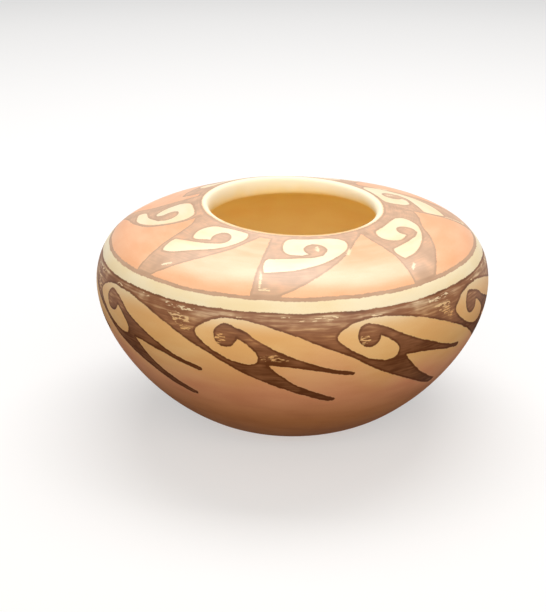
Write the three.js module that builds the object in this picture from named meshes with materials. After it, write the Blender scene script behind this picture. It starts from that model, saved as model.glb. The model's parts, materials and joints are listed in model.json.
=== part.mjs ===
// A hand-coiled seed jar of fired clay: a low, round-bellied pot that closes in over a flat shoulder
// to a small mouth. It is built as the potter builds it, from a pressed base patty and clay coils,
// each coil lapped down over the inside of the one below it.
// Millimetres, +Z up, origin at the centre of the face that the jar rests on.
import * as THREE from "three";

// Outside shape
const bellyRadius = 77; // widest point of the outside
const bellyHeight = 55; // height of the widest point
const jarHeight = 83; // top of the lip
const mouthRadius = 32.4; // clear opening inside the lip
const footRadius = 30.5; // outer edge of the resting ring
const dishRadius = 23; // hollow pressed into the underside, inside the resting ring
const dishDepth = 1.2;

// Curves of the outside: how far each end of a curve runs along its own direction
const footRise = THREE.MathUtils.degToRad(5); // slope of the wall where it leaves the foot
const footReach = 15.5;
const bellyReachDown = 24.3;
const bellyReachUp = 24.2;
const shoulderRise = THREE.MathUtils.degToRad(13); // slope of the shoulder where it meets the lip
const shoulderReach = 21;

// Clay thickness
const floorThickness = 7; // at the centre of the base
const pattyThickness = 6.4; // wall at the foot
const bellyThickness = 5.4;
const lipThickness = 4.6; // the lip is a half round of this width

// Clay pieces
const pattyHeight = 28; // height of the base patty, measured along the outside of the wall
const lap = 3.5; // how far a coil reaches down the inside, over the one below it
const coils = [
  { name: "lower_coil_1", colour: 0xb9783f },
  { name: "lower_coil_2", colour: 0xc28450 },
  { name: "lower_coil_3", colour: 0xca9059 },
  { name: "lower_coil_4", colour: 0xd29c62 },
  { name: "belly_coil", colour: 0xd8a56a },
  { name: "shoulder_coil_1", colour: 0xdcae76 },
  { name: "shoulder_coil_2", colour: 0xe6bd8c },
  { name: "top_coil_1", colour: 0xdd9a70 },
  { name: "top_coil_2", colour: 0xdd9a70 },
  { name: "rim_coil", colour: 0xecd0a0 },
];
const pattyColour = 0xa8693a;
const clayRoughness = 0.5; // stone-polished, unglazed

// Facets
const aroundSteps = 64;
const coilOuterSteps = 3; // along the outside of one coil
const coilInnerSteps = 3;
const pattyOuterSteps = 6;
const pattyFloorSteps = 8;
const lipSteps = 8;

const lipRadius = lipThickness / 2;
const lipCentre = new THREE.Vector2(mouthRadius + lipRadius, jarHeight - lipRadius);

// The outside, as one path from the foot, out round the belly and in over the shoulder to the lip.
// Each curve leaves and arrives along the directions named above.
function outsidePath() {
  const foot = new THREE.Vector2(footRadius, 0);
  const belly = new THREE.Vector2(bellyRadius, bellyHeight);
  const shoulderNormal = new THREE.Vector2(Math.sin(shoulderRise), Math.cos(shoulderRise));
  const lipStart = lipCentre.clone().addScaledVector(shoulderNormal, lipRadius);
  const lowerWall = new THREE.CubicBezierCurve(
    foot,
    new THREE.Vector2(footRadius + footReach * Math.cos(footRise), footReach * Math.sin(footRise)),
    new THREE.Vector2(bellyRadius, bellyHeight - bellyReachDown),
    belly,
  );
  const shoulder = new THREE.CubicBezierCurve(
    belly,
    new THREE.Vector2(bellyRadius, bellyHeight + bellyReachUp),
    new THREE.Vector2(
      lipStart.x + shoulderReach * Math.cos(shoulderRise),
      lipStart.y - shoulderReach * Math.sin(shoulderRise),
    ),
    lipStart,
  );
  const path = new THREE.CurvePath();
  path.add(lowerWall);
  path.add(shoulder);
  return path;
}

const outside = outsidePath();
const outsideLength = outside.getLength();
const [lowerLength] = outside.getCurveLengths();

// A point on the outside, at a height measured along it from the foot
function outerPoint(along) {
  return outside.getPoint(along / outsideLength);
}

// The clay thins steadily from the foot to the belly, and on to the lip
function thicknessAt(along) {
  if (along < lowerLength) {
    return THREE.MathUtils.mapLinear(along, 0, lowerLength, pattyThickness, bellyThickness);
  }
  return THREE.MathUtils.mapLinear(along, lowerLength, outsideLength, bellyThickness, lipThickness);
}

// The point of the inside that faces the outside at that height
function innerPoint(along) {
  const tangent = outside.getTangent(along / outsideLength);
  const intoClay = new THREE.Vector2(-tangent.y, tangent.x);
  return outerPoint(along).addScaledVector(intoClay, thicknessAt(along));
}

// Points from one height to another, both ends included
function pointsAlong(pointAt, from, to, steps) {
  return Array.from({ length: steps + 1 }, (_, i) => pointAt(from + ((to - from) * i) / steps));
}

// The half round of the lip, from the outside over the top and back under to the inside
function lipPoints() {
  const start = Math.PI / 2 - shoulderRise;
  return pointsAlong(
    (angle) =>
      new THREE.Vector2(
        lipCentre.x + lipRadius * Math.cos(angle),
        lipCentre.y + lipRadius * Math.sin(angle),
      ),
    start,
    start + Math.PI,
    lipSteps,
  );
}

// Turns a profile of radius and height about the upright axis
function turned(profile) {
  return new THREE.LatheGeometry(profile, aroundSteps).rotateX(Math.PI / 2);
}

function clayMesh(name, profile, colour) {
  const material = new THREE.MeshStandardMaterial({
    color: colour,
    roughness: clayRoughness,
    metalness: 0,
  });
  const mesh = new THREE.Mesh(turned(profile), material);
  mesh.name = name;
  return mesh;
}

// The pressed base: dished underside, resting ring, the lowest part of the wall and the bowl's floor.
// Its top edge slopes down to the inside, where the first coil laps over it.
function basePatty() {
  const innerEdge = innerPoint(pattyHeight - lap);
  const wallDirection = outside.getTangent((pattyHeight - lap) / outsideLength);
  // The floor's curve leaves the wall along the wall and arrives level at the centre
  const fall = (innerEdge.y - floorThickness) / wallDirection.y;
  const floor = new THREE.CubicBezierCurve(
    innerEdge,
    innerEdge.clone().addScaledVector(wallDirection, -fall),
    new THREE.Vector2(innerEdge.x / 2, floorThickness),
    new THREE.Vector2(0, floorThickness),
  );
  // The dish is a shallow arc, level at the centre
  const dish = new THREE.QuadraticBezierCurve(
    new THREE.Vector2(0, dishDepth),
    new THREE.Vector2(dishRadius / 2, dishDepth),
    new THREE.Vector2(dishRadius, 0),
  );
  return clayMesh(
    "base_patty",
    [
      ...dish.getPoints(coilInnerSteps),
      ...pointsAlong(outerPoint, 0, pattyHeight, pattyOuterSteps),
      ...floor.getPoints(pattyFloorSteps),
    ],
    pattyColour,
  );
}

// One coil, between two heights on the outside
function coilMesh({ name, colour }, from, to, isRim) {
  const top = isRim
    ? lipPoints().slice(1, -1).concat(pointsAlong(innerPoint, to, from - lap, coilInnerSteps + 1))
    : pointsAlong(innerPoint, to - lap, from - lap, coilInnerSteps);
  const profile = [...pointsAlong(outerPoint, from, to, coilOuterSteps), ...top];
  return clayMesh(name, [...profile, profile[0].clone()], colour);
}

const jar = new THREE.Group();
jar.name = "seed_jar";
jar.add(basePatty());
const coilHeight = (outsideLength - pattyHeight) / coils.length;
coils.forEach((coil, i) => {
  const from = pattyHeight + i * coilHeight;
  jar.add(coilMesh(coil, from, from + coilHeight, i === coils.length - 1));
});

export default jar;
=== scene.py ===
"""Looks of a hand-coiled, slip-painted seed jar.

The jar is eleven pieces of clay, a pressed base patty and ten coils. Geometry Nodes sweep each
piece's section round the upright axis, and measure how far every point of the wall lies from the
edge of each painted figure. Shader groups turn those distances into brushed paint, coloured slips
and stone polish, so that the painting runs on across the joints of the clay.

Lengths are metres unless a name says otherwise. The painting is laid out in degrees: the turn
round the axis (0 faces the camera, positive to its right), and the flow, which grows from the
mouth downwards so that a small square in turn and flow is also a square on the wall.
"""

from __future__ import annotations

import json
import logging
import math
from bisect import bisect_right
from collections.abc import Callable, Sequence
from dataclasses import dataclass, field, fields
from enum import IntEnum
from itertools import accumulate, pairwise

import bmesh
import bpy
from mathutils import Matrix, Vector
from mathutils.geometry import interpolate_bezier

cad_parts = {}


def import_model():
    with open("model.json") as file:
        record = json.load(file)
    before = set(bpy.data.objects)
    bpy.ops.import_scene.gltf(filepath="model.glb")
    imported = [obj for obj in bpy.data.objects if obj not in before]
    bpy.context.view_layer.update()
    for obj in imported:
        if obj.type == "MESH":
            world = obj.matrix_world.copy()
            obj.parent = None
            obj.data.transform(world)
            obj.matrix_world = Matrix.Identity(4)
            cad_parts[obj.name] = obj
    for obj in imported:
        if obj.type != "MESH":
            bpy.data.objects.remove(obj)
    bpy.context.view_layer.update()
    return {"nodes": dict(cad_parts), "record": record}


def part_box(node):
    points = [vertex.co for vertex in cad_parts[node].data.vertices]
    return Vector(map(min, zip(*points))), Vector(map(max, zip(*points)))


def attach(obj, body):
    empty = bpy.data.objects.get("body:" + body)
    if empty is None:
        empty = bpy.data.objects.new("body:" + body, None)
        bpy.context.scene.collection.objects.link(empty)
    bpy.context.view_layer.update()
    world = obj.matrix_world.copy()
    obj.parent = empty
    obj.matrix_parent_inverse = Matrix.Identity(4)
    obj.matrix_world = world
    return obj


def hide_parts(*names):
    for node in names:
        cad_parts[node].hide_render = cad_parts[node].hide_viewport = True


LOG = logging.getLogger("seed_jar")
MM = 0.001
FULL_TURN = 360.0

Colour = tuple[float, float, float, float]
Flat = tuple[float, float]
Span = tuple[float, float]

WHITE: Colour = (1.0, 1.0, 1.0, 1.0)
BLACK: Colour = (0.0, 0.0, 0.0, 1.0)


def paint_chip(red: int, green: int, blue: int) -> Colour:
    """Turns an 8-bit display colour into a linear one.

    Args:
        red: Red part, 0 to 255.
        green: Green part.
        blue: Blue part.

    Returns:
        The linear colour, with an alpha of 1.
    """
    parts = [channel / 255 for channel in (red, green, blue)]
    linear = [p / 12.92 if p <= 0.04045 else ((p + 0.055) / 1.055) ** 2.4 for p in parts]
    return (linear[0], linear[1], linear[2], 1.0)


def title(name: str) -> str:
    """A socket's name, in title case, from a Python name."""
    return name.replace("_", " ").title()


def add_object(name: str, data: bpy.types.ID) -> bpy.types.Object:
    """Adds an object to the scene, unturned at the origin.

    Args:
        name: The object's name.
        data: Its mesh, lamp or camera.

    Returns:
        The object.
    """
    made = bpy.data.objects.new(name, data)
    bpy.context.scene.collection.objects.link(made)
    return made


class Side(IntEnum):
    """Which way a strip of a clay wall faces. It picks the strip's finish."""

    OUTSIDE = 0
    INSIDE = 1
    UNDERSIDE = 2
    JOINT = 3

    @property
    def finish(self) -> str:
        """The name of the tree's input for its material."""
        return f"{title(self.name)} Finish"


def operator(operation: str, swapped: bool = False) -> Callable[[Wire, Value], Wire]:
    """Makes an operator for formulas of wires.

    Args:
        operation: The Math node's operation.
        swapped: Whether the wire is the second term.

    Returns:
        The operator.
    """

    def apply(wire: Wire, other: Value) -> Wire:
        """Adds the Math node."""
        return wire.sheet.math(operation, *((other, wire) if swapped else (wire, other)))

    return apply


@dataclass(frozen=True)
class Wire:
    """A node's output. Each operator in a formula of wires adds a Math node to their sheet."""

    sheet: NodeSheet
    socket: bpy.types.NodeSocket

    __add__ = operator("ADD")
    __sub__ = operator("SUBTRACT")
    __rsub__ = operator("SUBTRACT", swapped=True)
    __mul__ = operator("MULTIPLY")
    __truediv__ = operator("DIVIDE")
    __rtruediv__ = operator("DIVIDE", swapped=True)
    __lt__ = operator("LESS_THAN")
    __gt__ = operator("GREATER_THAN")

    def __abs__(self) -> Wire:
        """The size without the sign."""
        return self.sheet.math("ABSOLUTE", self)


Value = Wire | float | tuple[float, ...]


class NodeSheet:
    """Adds nodes to one tree and wires them together."""

    def __init__(self, tree: bpy.types.NodeTree) -> None:
        """Opens the sheet of a tree.

        Args:
            tree: The tree that the nodes go into.
        """
        self.tree = tree

    def feed(self, node: bpy.types.Node, wires: dict) -> None:
        """Feeds some of a node's inputs.

        Args:
            node: The node.
            wires: What each input gets, a wire or a plain value, by its name or number.
        """
        for key, value in wires.items():
            if isinstance(value, Wire):
                self.tree.links.new(value.socket, node.inputs[key])
            else:
                node.inputs[key].default_value = value

    def node(self, kind: str, wires: dict | None = None, **settings: object) -> bpy.types.Node:
        """Adds a node.

        Args:
            kind: Blender's name of the node type.
            wires: What each input gets, by its name or number.
            **settings: The node's own properties.

        Returns:
            The new node.
        """
        made = self.tree.nodes.new(kind)
        for name, value in settings.items():
            setattr(made, name, value)
        self.feed(made, wires or {})
        return made

    def get(self, kind: str, wires: dict | None = None, output: int | str = 0, **settings: object) -> Wire:
        """Adds a node as node() does, and returns one of its outputs."""
        return Wire(self, self.node(kind, wires, **settings).outputs[output])

    def math(self, operation: str, *terms: Value) -> Wire:
        """Adds a Math node and returns its output."""
        return self.get("ShaderNodeMath", dict(enumerate(terms)), operation=operation)

    def vector(self, operation: str, *terms: Value) -> Wire:
        """Adds a Vector Math node and returns its vector."""
        return self.get("ShaderNodeVectorMath", dict(enumerate(terms)), operation=operation)

    def combine(self, *parts: Value) -> Wire:
        """Makes a vector of up to three numbers."""
        return self.get("ShaderNodeCombineXYZ", dict(enumerate(parts)))

    def separate(self, vector: Wire) -> tuple[Wire, ...]:
        """Takes a vector apart into its three numbers."""
        return tuple(Wire(self, part) for part in self.node("ShaderNodeSeparateXYZ", {0: vector}).outputs)

    def smooth(self, value: Value, low: Value, high: Value) -> Wire:
        """Adds a smooth step.

        Args:
            value: What is measured.
            low: Where the step starts, at 0.
            high: Where it ends, at 1.

        Returns:
            The step's output.
        """
        wires = {"Value": value, "From Min": low, "From Max": high}
        return self.get("ShaderNodeMapRange", wires, interpolation_type="SMOOTHSTEP")

    def noise(self, place: Wire, scale: float, detail: float) -> Wire:
        """Adds a noise texture.

        Args:
            place: The coordinates that it is read at.
            scale: How many lumps fit in one unit.
            detail: How many finer layers are added.

        Returns:
            Its value, about 0.5 on average.
        """
        return self.get("ShaderNodeTexNoise", {0: place, "Scale": scale, "Detail": detail})

    def strokes(self, place: Wire, along: float, across: float, detail: float = 3.0) -> Wire:
        """Adds noise that is drawn out along the turn.

        Args:
            place: The place on the wall.
            along: How many lumps fit in one unit along the turn.
            across: How many fit in one unit across it.
            detail: How many finer layers are added.

        Returns:
            Its value, about 0.5 on average.
        """
        return self.noise(self.vector("MULTIPLY", place, (along, along, across)), 1.0, detail)

    def drift(self, place: Wire, scale: Value, detail: float, reach: Value) -> Wire:
        """Adds a vector that wanders to all sides of zero.

        Args:
            place: The coordinates that it is read at.
            scale: How many lumps fit in one unit.
            detail: How many finer layers are added.
            reach: What the noise's whole range comes to.

        Returns:
            The vector.
        """
        lumps = self.get("ShaderNodeTexNoise", {0: place, "Scale": scale, "Detail": detail}, 1)
        centred = self.vector("SUBTRACT", lumps, (0.5, 0.5, 0.5))
        return self.get("ShaderNodeVectorMath", {0: centred, "Scale": reach}, operation="SCALE")

    def mix(self, amount: Wire, under: Wire | Colour, over: Wire | Colour) -> Wire:
        """Mixes two colours.

        Args:
            amount: How much of the upper colour shows.
            under: The lower colour.
            over: The upper colour.

        Returns:
            The mixed colour.
        """
        return self.get("ShaderNodeMix", {0: amount, 6: under, 7: over}, 2, data_type="RGBA")

    def attribute(self, name: str, kind: str = "Fac") -> Wire:
        """Reads one of the piece's own attributes in a material."""
        return self.get("ShaderNodeAttribute", output=kind, attribute_name=name)

    def bump(self, height: Wire, strength: float, depth: float) -> Wire:
        """Turns a height into a normal."""
        return self.get("ShaderNodeBump", {"Height": height, "Strength": strength, "Distance": depth})


@dataclass(frozen=True)
class Port:
    """One input or output of a node group."""

    name: str
    kind: str = "Float"
    start: float | None = None


GEOMETRY = Port("Geometry", "Geometry")


class GroupSheet(NodeSheet):
    """The sheet of a new node group, with its named inputs and outputs."""

    def __init__(self, name: str, kind: str, inputs: Sequence[Port], outputs: Sequence[Port]) -> None:
        """Makes the group.

        Args:
            name: The group's name.
            kind: Shader or Geometry.
            inputs: What it takes.
            outputs: What it gives.
        """
        super().__init__(bpy.data.node_groups.new(name, f"{kind}NodeTree"))
        new_socket = self.tree.interface.new_socket
        for side, ports in (("INPUT", inputs), ("OUTPUT", outputs)):
            for port in ports:
                socket = new_socket(name=port.name, in_out=side, socket_type=f"NodeSocket{port.kind}")
                if port.start is not None:
                    socket.default_value = port.start
        taken = self.node("NodeGroupInput").outputs
        self.source = {port.name: Wire(self, taken[port.name]) for port in inputs}

    def give(self, *results: Value) -> bpy.types.NodeTree:
        """Feeds the group's outputs in their order and returns its tree."""
        self.node("NodeGroupOutput", dict(enumerate(results)))
        return self.tree

    def read(self, name: str, kind: str = "FLOAT") -> Wire:
        """Reads an attribute of each point in a Geometry Nodes tree."""
        return self.get("GeometryNodeInputNamedAttribute", {"Name": name}, data_type=kind)

    def then(self, kind: str, geometry: Wire, wires: dict | None = None, **settings: object) -> Wire:
        """Adds a node that changes a geometry.

        Args:
            kind: Blender's name of the node type, without GeometryNode.
            geometry: What it changes.
            wires: What its other inputs get, by name.
            **settings: The node's own properties.

        Returns:
            The changed geometry.
        """
        return self.get(f"GeometryNode{kind}", {"Geometry": geometry} | (wires or {}), **settings)

    def store(self, mesh: Wire, name: str, value: Wire, kind: str = "FLOAT", domain: str = "POINT") -> Wire:
        """Stores an attribute on a mesh and returns the mesh."""
        wires = {"Name": name, "Value": value}
        return self.then("StoreNamedAttribute", mesh, wires, data_type=kind, domain=domain)


class WallLine:
    """A smooth line in the plane of radius and height, measured along itself."""

    def __init__(self, points: Sequence[Vector]) -> None:
        """Measures the line.

        Args:
            points: Points of radius and height, close together.
        """
        self.points = list(points)
        steps = [(after - before).length for before, after in pairwise(self.points)]
        self.marks = [0.0, *accumulate(steps)]

    @property
    def length(self) -> float:
        """The line's whole length."""
        return self.marks[-1]

    def step(self, distance: float) -> tuple[int, float]:
        """The number of the short step that a distance falls in, and how far into that step it is."""
        i = min(max(bisect_right(self.marks, distance) - 1, 0), len(self.points) - 2)
        return i, (distance - self.marks[i]) / (self.marks[i + 1] - self.marks[i])

    def point(self, distance: float) -> Vector:
        """The point at a distance along the line."""
        i, part = self.step(distance)
        return self.points[i].lerp(self.points[i + 1], part)

    def direction(self, distance: float) -> Vector:
        """The unit direction of the line at a distance along it."""
        i, _ = self.step(distance)
        return (self.points[i + 1] - self.points[i]).normalized()


@dataclass(frozen=True)
class JarSizes:
    """Driving sizes of the jar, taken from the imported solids."""

    belly_radius: float
    belly_height: float
    jar_height: float
    mouth_radius: float
    foot_radius: float
    dish_radius: float
    dish_depth: float
    floor_height: float
    patty_radius: float

    @staticmethod
    def rings(node: bpy.types.Object) -> list[Flat]:
        """The radius and height of each of a turned solid's points."""
        return [(math.hypot(v.co.x, v.co.y), v.co.z) for v in node.data.vertices]

    @classmethod
    def measure(cls, nodes: dict[str, bpy.types.Object]) -> JarSizes:
        """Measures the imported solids.

        Args:
            nodes: The solids by name.

        Returns:
            The jar's sizes.
        """
        patty = cls.rings(nodes["base_patty"])
        rim = cls.rings(nodes["rim_coil"])
        near = 0.01 * MM
        on_axis = [height for radius, height in patty if radius < near]
        on_ground = [radius for radius, height in patty if height < near]
        wall = {(round(r, 6), round(h, 6)) for name in nodes for r, h in cls.rings(nodes[name])}
        widest = sorted(wall, reverse=True)[:3]
        belly_radius, belly_height = cls.crest(widest)
        return cls(
            belly_radius=belly_radius,
            belly_height=belly_height,
            jar_height=max(height for _, height in rim),
            mouth_radius=min(radius for radius, _ in rim),
            foot_radius=max(on_ground),
            dish_radius=min(on_ground),
            dish_depth=min(on_axis),
            floor_height=max(on_axis),
            patty_radius=max(radius for radius, _ in patty),
        )

    @staticmethod
    def crest(rings: Sequence[Flat]) -> Flat:
        """Finds the top of the parabola through three rings.

        Args:
            rings: Three radii with their heights.

        Returns:
            The largest radius and its height.
        """
        (r0, h0), (r1, h1), (r2, h2) = sorted(rings, key=lambda ring: ring[1])
        lower = (r1 - r0) / (h1 - h0)
        upper = (r2 - r1) / (h2 - h1)
        bend = (upper - lower) / (h2 - h0)
        height = (h0 + h1) / 2 - lower / (2 * bend)
        radius = r0 + lower * (height - h0) + bend * (height - h0) * (height - h1)
        return radius, height


@dataclass(frozen=True)
class SectionPoint:
    """A point of a clay piece's section."""

    radius: float
    height: float
    flow: float = 0.0
    inward: float = 0.0


@dataclass(frozen=True)
class Strip:
    """A run of section points that face the same way."""

    side: Side
    points: list[SectionPoint]


@dataclass
class JarSection:
    """The whole jar's section: the outside, the clay's thickness, the lip and the base."""

    sizes: JarSizes
    foot_rise: float = math.radians(5)
    foot_reach: float = 15.5 * MM
    belly_reach_down: float = 24.3 * MM
    belly_reach_up: float = 24.2 * MM
    shoulder_rise: float = math.radians(13)
    shoulder_reach: float = 21 * MM
    patty_thickness: float = 6.4 * MM
    belly_thickness: float = 5.4 * MM
    lip_thickness: float = 4.6 * MM
    lap: float = 3.5 * MM
    flow_zero_radius: float = 36.5 * MM
    painted_row: float = 0.45 * MM
    plain_row: float = 1.2 * MM
    inner_row: float = 1.5 * MM
    lip_row: float = 0.25 * MM
    curve_points: int = 1500
    floor_points: int = 36
    dish_points: int = 20
    lip_radius: float = field(init=False)
    lip_centre: Vector = field(init=False)
    outside: WallLine = field(init=False)
    belly_along: float = field(init=False)
    flow_marks: list[float] = field(init=False)

    def __post_init__(self) -> None:
        """Draws the outside and measures the flow along it."""
        size = self.sizes
        lip_radius = self.lip_thickness / 2
        self.lip_radius = lip_radius
        self.lip_centre = Vector((size.mouth_radius + lip_radius, size.jar_height - lip_radius))
        foot = Vector((size.foot_radius, 0))
        belly = Vector((size.belly_radius, size.belly_height))
        away = Vector((math.sin(self.shoulder_rise), math.cos(self.shoulder_rise)))
        lip_start = self.lip_centre + away * lip_radius
        down_slope = Vector((math.cos(self.shoulder_rise), -math.sin(self.shoulder_rise)))
        foot_slope = Vector((math.cos(self.foot_rise), math.sin(self.foot_rise)))
        lower = interpolate_bezier(
            foot,
            foot + foot_slope * self.foot_reach,
            belly - Vector((0, self.belly_reach_down)),
            belly,
            self.curve_points,
        )
        upper = interpolate_bezier(
            belly,
            belly + Vector((0, self.belly_reach_up)),
            lip_start + down_slope * self.shoulder_reach,
            lip_start,
            self.curve_points,
        )
        self.belly_along = WallLine(lower).length
        self.outside = WallLine([*lower, *upper[1:]])
        self.flow_marks = self.measure_flow()

    def measure_flow(self) -> list[float]:
        """Measures the flow at each point of the outside.

        Returns:
            Degrees, 0 where the wall is flow_zero_radius from the axis beside the lip.
        """
        points = self.outside.points
        steps = [
            math.degrees((after - before).length / ((after.x + before.x) / 2))
            for before, after in pairwise(points)
        ]
        from_foot = [0.0, *accumulate(steps)]
        last = max(i for i, point in enumerate(points) if point.x > self.flow_zero_radius)
        return [from_foot[last] - mark for mark in from_foot]

    def flow(self, along: float) -> float:
        """The flow at a distance along the outside from the foot."""
        i, part = self.outside.step(along)
        return self.flow_marks[i] + part * (self.flow_marks[i + 1] - self.flow_marks[i])

    def thickness(self, along: float) -> float:
        """The clay's thickness, which thins steadily from the foot to the belly and on to the lip.

        Args:
            along: A distance along the outside from the foot.

        Returns:
            The thickness there.
        """
        if along < self.belly_along:
            part = along / self.belly_along
            return self.patty_thickness + part * (self.belly_thickness - self.patty_thickness)
        part = (along - self.belly_along) / (self.outside.length - self.belly_along)
        return self.belly_thickness + part * (self.lip_thickness - self.belly_thickness)

    def outer(self, along: float) -> SectionPoint:
        """The section point on the outside, at a distance along it from the foot."""
        point = self.outside.point(along)
        return SectionPoint(point.x, point.y, self.flow(along))

    def inner(self, along: float) -> SectionPoint:
        """The section point on the inside that faces a point of the outside.

        Args:
            along: That point's distance along the outside from the foot.

        Returns:
            The point, with its way inward from the lip's top in millimetres.
        """
        slope = self.outside.direction(along)
        point = self.outside.point(along) + Vector((-slope.y, slope.x)) * self.thickness(along)
        round_the_lip = math.pi / 2 * self.lip_radius
        inward = self.outside.length - along + round_the_lip
        return SectionPoint(point.x, point.y, self.flow_marks[-1], inward / MM)

    @staticmethod
    def stations(start: float, end: float, row: float) -> list[float]:
        """Evenly spaced distances from one to another, both ends included."""
        rows = max(1, math.ceil(abs(end - start) / row))
        return [start + (end - start) * i / rows for i in range(rows + 1)]

    def outer_strip(self, start: float, end: float, row: float) -> Strip:
        """The outside from one distance to another."""
        return Strip(Side.OUTSIDE, [self.outer(a) for a in self.stations(start, end, row)])

    def inner_strip(self, start: float, end: float) -> Strip:
        """The inside from one distance to another."""
        return Strip(Side.INSIDE, [self.inner(a) for a in self.stations(start, end, self.inner_row)])

    def joint_strip(self, along: float) -> Strip:
        """The lapped joint between two pieces.

        Args:
            along: Where it starts, as a distance along the outside.

        Returns:
            The strip, from the outside to the inside.
        """
        outer, inner = self.outer(along), self.inner(along - self.lap)
        middle = SectionPoint(
            (outer.radius + inner.radius) / 2,
            (outer.height + inner.height) / 2,
            (outer.flow + inner.flow) / 2,
            inner.inward / 2,
        )
        return Strip(Side.JOINT, [outer, middle, inner])

    def lip_strips(self) -> list[Strip]:
        """The half round of the lip, parted at its top.

        Returns:
            Its outer and its inner strip.
        """
        top_flow = self.flow_marks[-1]
        start = math.pi / 2 - self.shoulder_rise
        turn = self.lip_row / self.lip_radius

        def at(angle: float) -> SectionPoint:
            """The lip's point at an angle from level."""
            over_top = max(0.0, angle - math.pi / 2) * self.lip_radius
            climb = (min(angle, math.pi / 2) - start) * self.lip_radius
            fall = math.degrees(climb / self.lip_centre.x)
            return SectionPoint(
                self.lip_centre.x + self.lip_radius * math.cos(angle),
                self.lip_centre.y + self.lip_radius * math.sin(angle),
                top_flow - fall,
                over_top / MM,
            )

        outer = [at(a) for a in self.stations(start, math.pi / 2, turn)]
        inner = [at(a) for a in self.stations(math.pi / 2, start + math.pi, turn)]
        return [Strip(Side.OUTSIDE, outer), Strip(Side.INSIDE, inner)]

    def patty_top(self) -> float:
        """How far along the outside the base patty reaches."""
        return next(
            mark
            for point, mark in zip(self.outside.points, self.outside.marks)
            if point.x >= self.sizes.patty_radius
        )

    def patty_strips(self, top: float) -> list[Strip]:
        """The base patty: dish, resting ring, lowest wall, joint and bowl floor.

        Args:
            top: How far along the outside the patty reaches.

        Returns:
            Its strips.
        """
        size = self.sizes
        edge = self.inner(top - self.lap)
        inner_edge = Vector((edge.radius, edge.height))
        slope = self.outside.direction(top - self.lap)
        fall = (edge.height - size.floor_height) / slope.y
        floor_curve = interpolate_bezier(
            inner_edge,
            inner_edge - slope * fall,
            Vector((edge.radius / 2, size.floor_height)),
            Vector((0, size.floor_height)),
            self.floor_points,
        )
        floor = [SectionPoint(p.x, p.y, edge.flow, edge.inward) for p in floor_curve]
        # A quadratic arc of control radius half the dish's, raised to a cubic
        control = Vector((size.dish_radius / 2, size.dish_depth))
        centre, rim = Vector((0, size.dish_depth)), Vector((size.dish_radius, 0))
        handles = (centre.lerp(control, 2 / 3), rim.lerp(control, 2 / 3))
        dish_curve = interpolate_bezier(centre, *handles, rim, self.dish_points)
        foot_flow = self.flow(0)
        under = [SectionPoint(p.x, p.y, foot_flow) for p in dish_curve]
        ring = self.stations(size.dish_radius, size.foot_radius, self.plain_row)
        under += [SectionPoint(radius, 0, foot_flow) for radius in ring[1:]]
        return [
            Strip(Side.UNDERSIDE, under),
            self.outer_strip(0, top, self.plain_row),
            self.joint_strip(top),
            Strip(Side.INSIDE, floor),
        ]

    def coil_strips(self, start: float, end: float, is_rim: bool) -> list[Strip]:
        """One coil between two distances along the outside.

        Args:
            start: Where it starts.
            end: Where it ends.
            is_rim: Whether it closes with the lip.

        Returns:
            Its strips.
        """
        outside = self.outer_strip(start, end, self.painted_row)
        inside_top = end if is_rim else end - self.lap
        close = self.lip_strips() if is_rim else [self.joint_strip(end)]
        return [outside, *close, self.inner_strip(inside_top, start - self.lap), self.joint_strip(start)]


def smooth_stroke(points: Sequence[Flat], steps: int = 6) -> list[Flat]:
    """Draws a smooth brush line through a few points.

    Args:
        points: The points that it passes, both ends included.
        steps: How many short pieces each stretch gets.

    Returns:
        Points along a Catmull-Rom curve.
    """
    spots = [Vector(p) for p in points]
    before = spots[0] * 2 - spots[1]
    after = spots[-1] * 2 - spots[-2]
    padded = [before, *spots, after]
    line = []
    for i in range(len(spots) - 1):
        p0, p1, p2, p3 = padded[i : i + 4]
        first, second = p1 + (p2 - p0) / 6, p2 - (p3 - p1) / 6
        line += interpolate_bezier(p1, first, second, p2, steps + 1)[:-1]
    return [(p.x, p.y) for p in [*line, spots[-1]]]


def round_dot(centre: Flat, radius: float, start: float, end: float, steps: int = 28) -> list[Flat]:
    """Draws an arc of a painted dot.

    Args:
        centre: Turn and flow of its centre.
        radius: Its radius in degrees of turn.
        start: Clock angle of the arc's start, 0 towards the mouth, growing to the right.
        end: Clock angle of its end.
        steps: How many short pieces it gets.

    Returns:
        Points along the arc.
    """
    angles = [math.radians(start + (end - start) * i / steps) for i in range(steps + 1)]
    return [(centre[0] + radius * math.sin(a), centre[1] - radius * math.cos(a)) for a in angles]


@dataclass(frozen=True)
class Figure:
    """One painted figure, and where it stands round the jar.

    Its outline is in degrees of turn and flow, with the turn counted from the figure's own dot.
    """

    outline: list[Flat]
    anchor_flow: float
    turns: tuple[float, ...]
    stretches: tuple[float, ...] = ()
    least_step: float = 1e-4

    def motif(self) -> bpy.types.Object:
        """Makes one copy.

        Returns:
            A flat sheet with the figure's anchor at the origin.
        """
        spots = [(turn, flow - self.anchor_flow, 0.0) for turn, flow in self.outline]
        pairs = zip(spots, [*spots[1:], spots[0]])
        apart = [spot for spot, after in pairs if math.dist(spot, after) > self.least_step]
        mesh = bpy.data.meshes.new("motif")
        mesh.from_pydata(apart, [], [tuple(range(len(apart)))])
        return add_object("motif", mesh)

    def row(self) -> bpy.types.Object:
        """Repeats the figure round the jar.

        Returns:
            A flat sheet with all the copies, each stretched along the flow by its own factor.
        """
        motif = self.motif()
        mesh = bpy.data.meshes.new("row")
        mesh.from_pydata([(turn, self.anchor_flow, 0.0) for turn in self.turns], [], [])
        stretches = self.stretches or (1.0,) * len(self.turns)
        mesh.attributes.new("stretch", "FLOAT", "POINT").data.foreach_set("value", list(stretches))
        row = add_object("row", mesh)
        apply_tree(row, row_tree(), {"Figure": motif})
        bpy.data.objects.remove(motif)
        return row


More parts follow.
